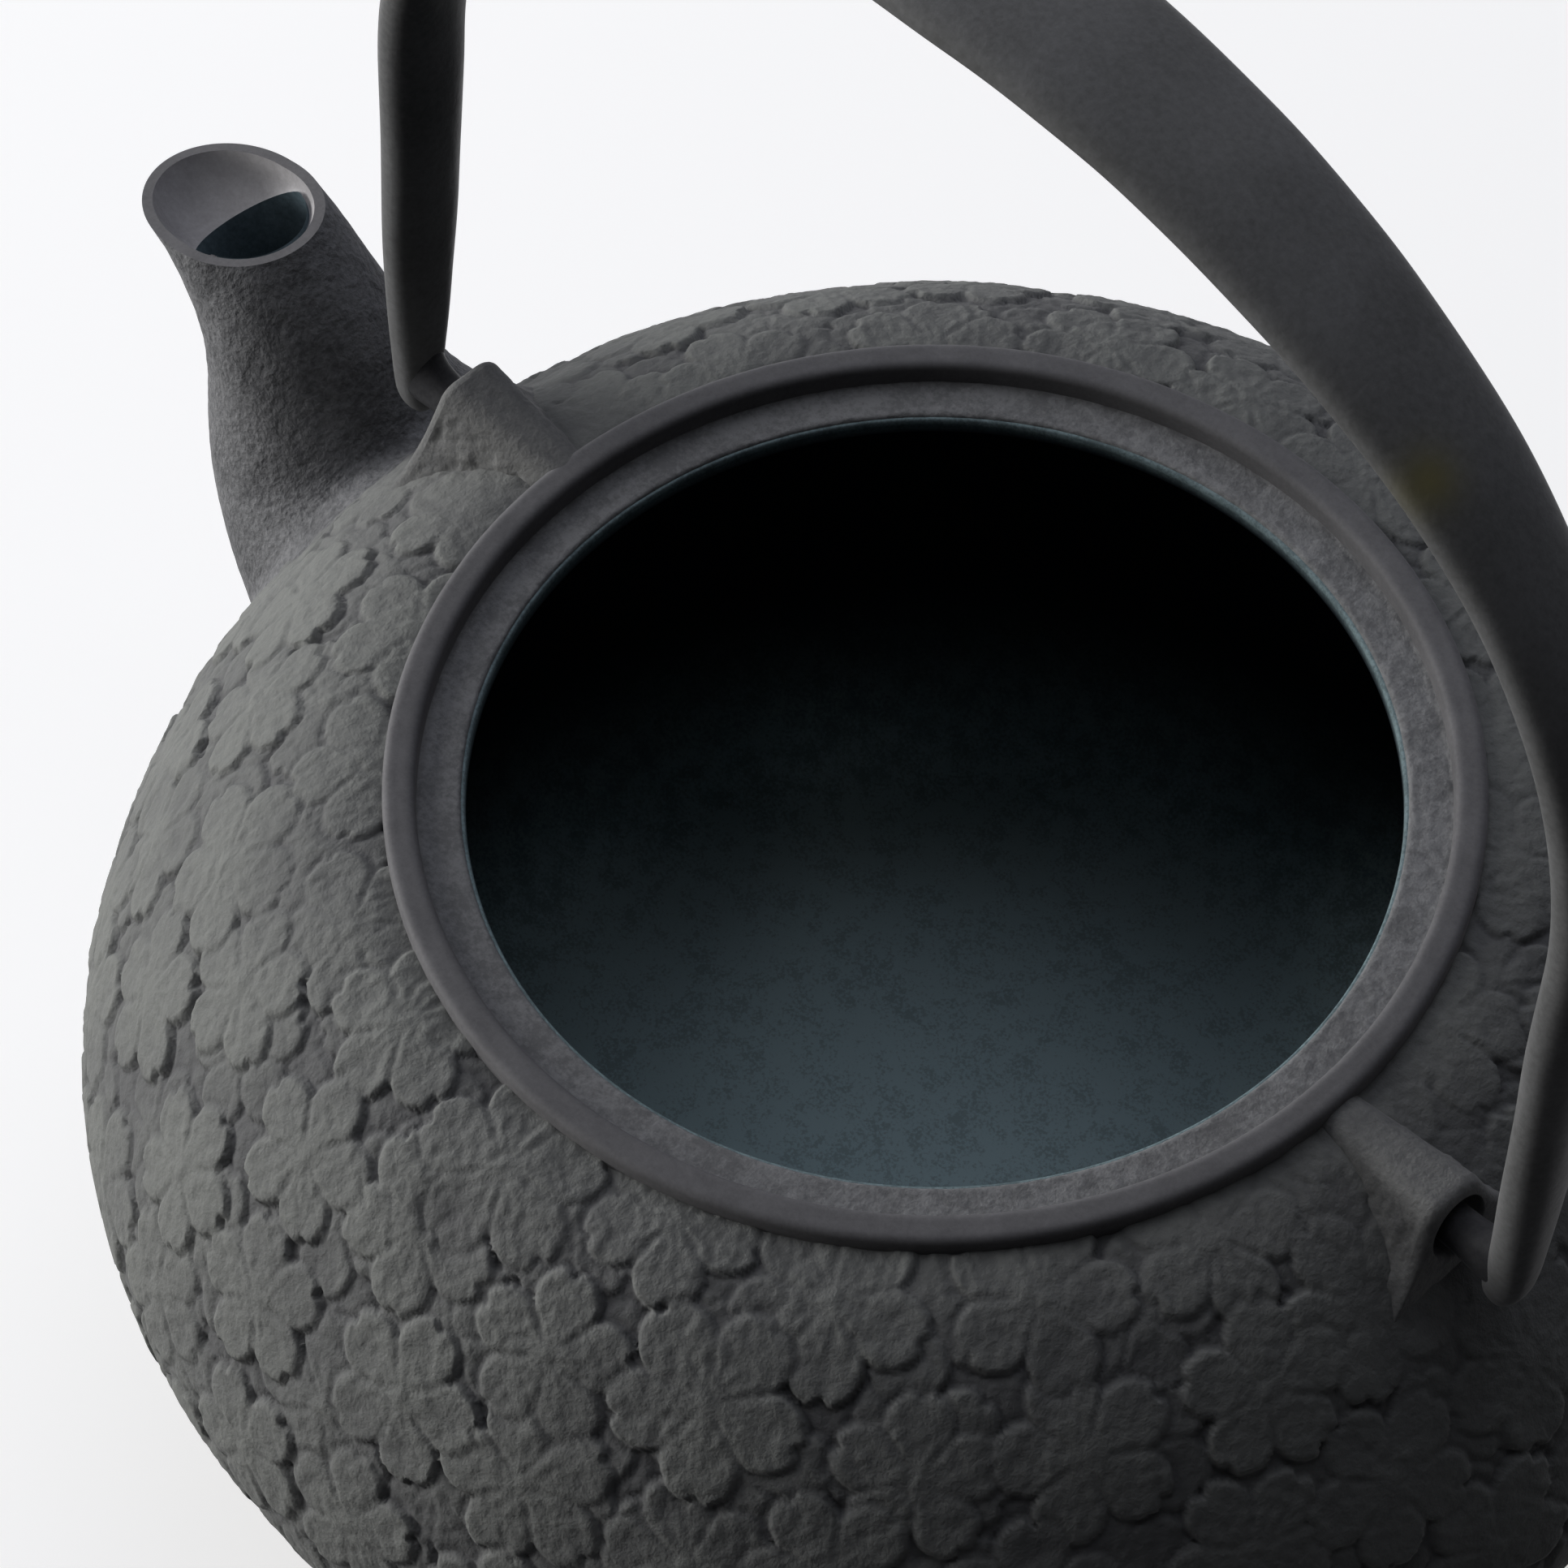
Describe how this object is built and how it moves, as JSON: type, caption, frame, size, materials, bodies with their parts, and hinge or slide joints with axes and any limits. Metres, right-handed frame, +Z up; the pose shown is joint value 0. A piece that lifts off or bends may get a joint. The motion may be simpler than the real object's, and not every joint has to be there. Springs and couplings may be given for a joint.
{
  "type": "cast iron teapot",
  "caption": "Squat cast iron teapot with a short curved spout, a recessed open mouth between two lugs, a tall folding bail handle and a domed knobbed lid set beside it.",
  "frame": {"origin": "centre of the flat base, on the table", "axes": "+Z up along the pot's axis, the spout points along -X, the handle's hinge line lies along X"},
  "size_m": [0.2558, 0.1454, 0.1581],
  "materials": {
    "pot_iron": "matte sand-cast, enamelled inside",
    "handle_iron": "satin black lacquer",
    "lid_iron": "matte sand-cast",
    "knob_iron": "satin black lacquer",
    "washer_steel": "plain turned"
  },
  "bodies": {
    "pot": {"pot_body": "pot_iron"},
    "handle": {"bail_handle": "handle_iron"},
    "lid": {"lid": "lid_iron", "lid_knob": "knob_iron", "knob_washer": "washer_steel"}
  },
  "joints": [
    {"name": "handle_fold", "type": "hinge", "parent": "pot", "child": "handle", "pos_m": [0, 0, 0.0682], "axis": [1, 0, 0], "range_deg": [-107, 117]},
    {"name": "lid_lift", "type": "slide", "parent": "pot", "child": "lid", "axis": [0, 0, 1], "range_m": [0, 0.12]}
  ]
}
